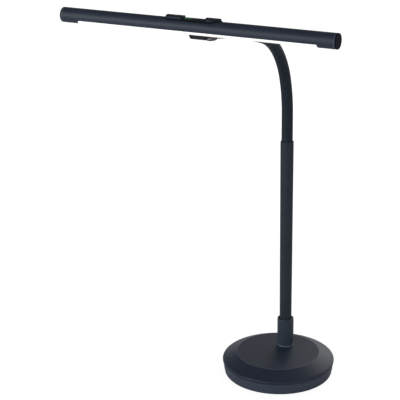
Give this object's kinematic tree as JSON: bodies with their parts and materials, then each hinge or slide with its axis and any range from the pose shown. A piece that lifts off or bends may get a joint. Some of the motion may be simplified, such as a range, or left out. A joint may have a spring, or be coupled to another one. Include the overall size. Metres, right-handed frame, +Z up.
{
  "type": "piano lamp",
  "caption": "Piano lamp with a round weighted base, a pole in a collar, a flexible gooseneck and a long tubular LED head on a swivel and a tilt joint.",
  "frame": {"origin": "centre of the underside of the round base, on the table", "axes": "+Z up along the pole; -Y is the front, towards which the gooseneck and the head reach; +X along the bar to its right end"},
  "size_m": [0.446, 0.4146, 0.7055],
  "materials": {
    "pad_rubber": "matt",
    "plate_steel": "zinc plated",
    "screw_steel": "zinc plated",
    "ballast_iron": "as cast",
    "ring_plastic": "satin paint",
    "cover_plastic": "satin paint",
    "socket_plastic": "moulded",
    "lead_rubber": "smooth",
    "collar_paint": "satin paint",
    "pole_paint": "satin paint",
    "stem_steel": "turned",
    "bush_plastic": "moulded",
    "core_steel": "wound wire",
    "sleeve_rubber": "satin",
    "ferrule_nickel": "satin nickel colour",
    "washer_nylon": "moulded",
    "yoke_paint": "satin paint",
    "pin_steel": "blackened",
    "black_steel": "blackened",
    "tube_paint": "satin anodised",
    "cap_plastic": "moulded",
    "carrier_aluminium": "extruded",
    "board_white": "solder mask",
    "led_yellow": "moulded",
    "diffuser_white": "opal",
    "panel_plastic": "satin",
    "board_green": "solder mask",
    "switch_steel": "pressed",
    "window_black": "polished",
    "light_green": "moulded",
    "key_plastic": "satin"
  },
  "bodies": {
    "base": {"foot_pad": "pad_rubber", "base_plate": "plate_steel", "base_screws": "screw_steel", "ballast": "ballast_iron", "base_ring": "ring_plastic", "base_cover": "cover_plastic", "power_socket": "socket_plastic", "base_lead": "lead_rubber", "collar_seat": "collar_paint", "collar": "collar_paint"},
    "pole": {"stem_washer": "screw_steel", "pole_tube": "pole_paint", "pole_stem": "stem_steel", "stem_nut": "screw_steel", "pole_lead": "lead_rubber", "pole_bush": "bush_plastic", "neck_root_core": "core_steel", "neck_root_sleeve": "sleeve_rubber"},
    "neck_1": {"neck_core_1": "core_steel", "neck_sleeve_1": "sleeve_rubber"},
    "neck_2": {"neck_core_2": "core_steel", "neck_sleeve_2": "sleeve_rubber"},
    "neck_3": {"neck_core_3": "core_steel", "neck_sleeve_3": "sleeve_rubber"},
    "neck_4": {"neck_core_4": "core_steel", "neck_sleeve_4": "sleeve_rubber"},
    "neck_5": {"neck_core_5": "core_steel", "neck_sleeve_5": "sleeve_rubber"},
    "neck_tip": {"neck_tip_core": "core_steel", "neck_tip_sleeve": "sleeve_rubber", "neck_ferrule": "ferrule_nickel", "swivel_washers": "washer_nylon"},
    "yoke": {"swivel_yoke": "yoke_paint", "swivel_pin": "pin_steel", "tilt_washers": "washer_nylon"},
    "head": {"tilt_pin": "pin_steel", "head_bracket": "yoke_paint", "bracket_screws": "black_steel", "head_tube": "tube_paint", "end_cap_left": "cap_plastic", "end_cap_right": "cap_plastic", "led_carrier": "carrier_aluminium", "led_board": "board_white", "leds": "led_yellow", "diffuser": "diffuser_white", "control_housing": "panel_plastic", "control_board": "board_green", "key_switches": "switch_steel", "panel_window": "window_black", "status_light": "light_green"},
    "left_key": {"key_left": "key_plastic"},
    "right_key": {"key_right": "key_plastic"}
  },
  "joints": [
    {"name": "pole_turn", "type": "hinge", "parent": "base", "child": "pole", "pos_m": [0, 0.0314, 0.0908], "axis": [0, 0, 1], "range_deg": [-170, 170]},
    {"name": "neck_bend", "type": "hinge", "parent": "pole", "child": "neck_1", "pos_m": [0, 0.0314, 0.4715], "axis": [1, 0, 0], "range_deg": [-15, 15]},
    {"name": "neck_sway", "type": "hinge", "parent": "neck_1", "child": "neck_2", "pos_m": [0, 0.02112, 0.53642], "axis": [0, 0.9511, 0.309], "range_deg": [-15, 15]},
    {"name": "neck_bend_middle", "type": "hinge", "parent": "neck_2", "child": "neck_3", "pos_m": [0, -0.01305, 0.59218], "axis": [1, 0, 0], "range_deg": [-15, 15]},
    {"name": "neck_sway_middle", "type": "hinge", "parent": "neck_3", "child": "neck_4", "pos_m": [0, -0.0688, 0.62634], "axis": [0, 0.309, 0.9511], "range_deg": [-15, 15]},
    {"name": "neck_bend_tip", "type": "hinge", "parent": "neck_4", "child": "neck_5", "pos_m": [0, -0.13192, 0.64564], "axis": [1, 0, 0], "range_deg": [-15, 15]},
    {"name": "neck_sway_tip", "type": "hinge", "parent": "neck_5", "child": "neck_tip", "pos_m": [0, -0.19607, 0.66104], "axis": [0, 0.1908, 0.9816], "range_deg": [-15, 15]},
    {"name": "head_swivel", "type": "hinge", "parent": "neck_tip", "child": "yoke", "pos_m": [0, -0.26871, 0.67516], "axis": [0, 0, 1], "range_deg": [-90, 90]},
    {"name": "head_tilt", "type": "hinge", "parent": "yoke", "child": "head", "pos_m": [0, -0.28921, 0.67516], "axis": [1, 0, 0], "range_deg": [-35, 60]},
    {"name": "left_key_press", "type": "slide", "parent": "head", "child": "left_key", "axis": [0, 0, -1], "range_m": [0, 0.001], "stiffness_N_per_m": 600, "springref_m": -0.001},
    {"name": "right_key_press", "type": "slide", "parent": "head", "child": "right_key", "axis": [0, 0, -1], "range_m": [0, 0.001], "stiffness_N_per_m": 600, "springref_m": -0.001}
  ],
  "couplings": [
    {"joint": "neck_bend_middle", "follows": "neck_bend", "ratio": 1},
    {"joint": "neck_bend_tip", "follows": "neck_bend", "ratio": 1},
    {"joint": "neck_sway_middle", "follows": "neck_sway", "ratio": 1},
    {"joint": "neck_sway_tip", "follows": "neck_sway", "ratio": 1}
  ]
}
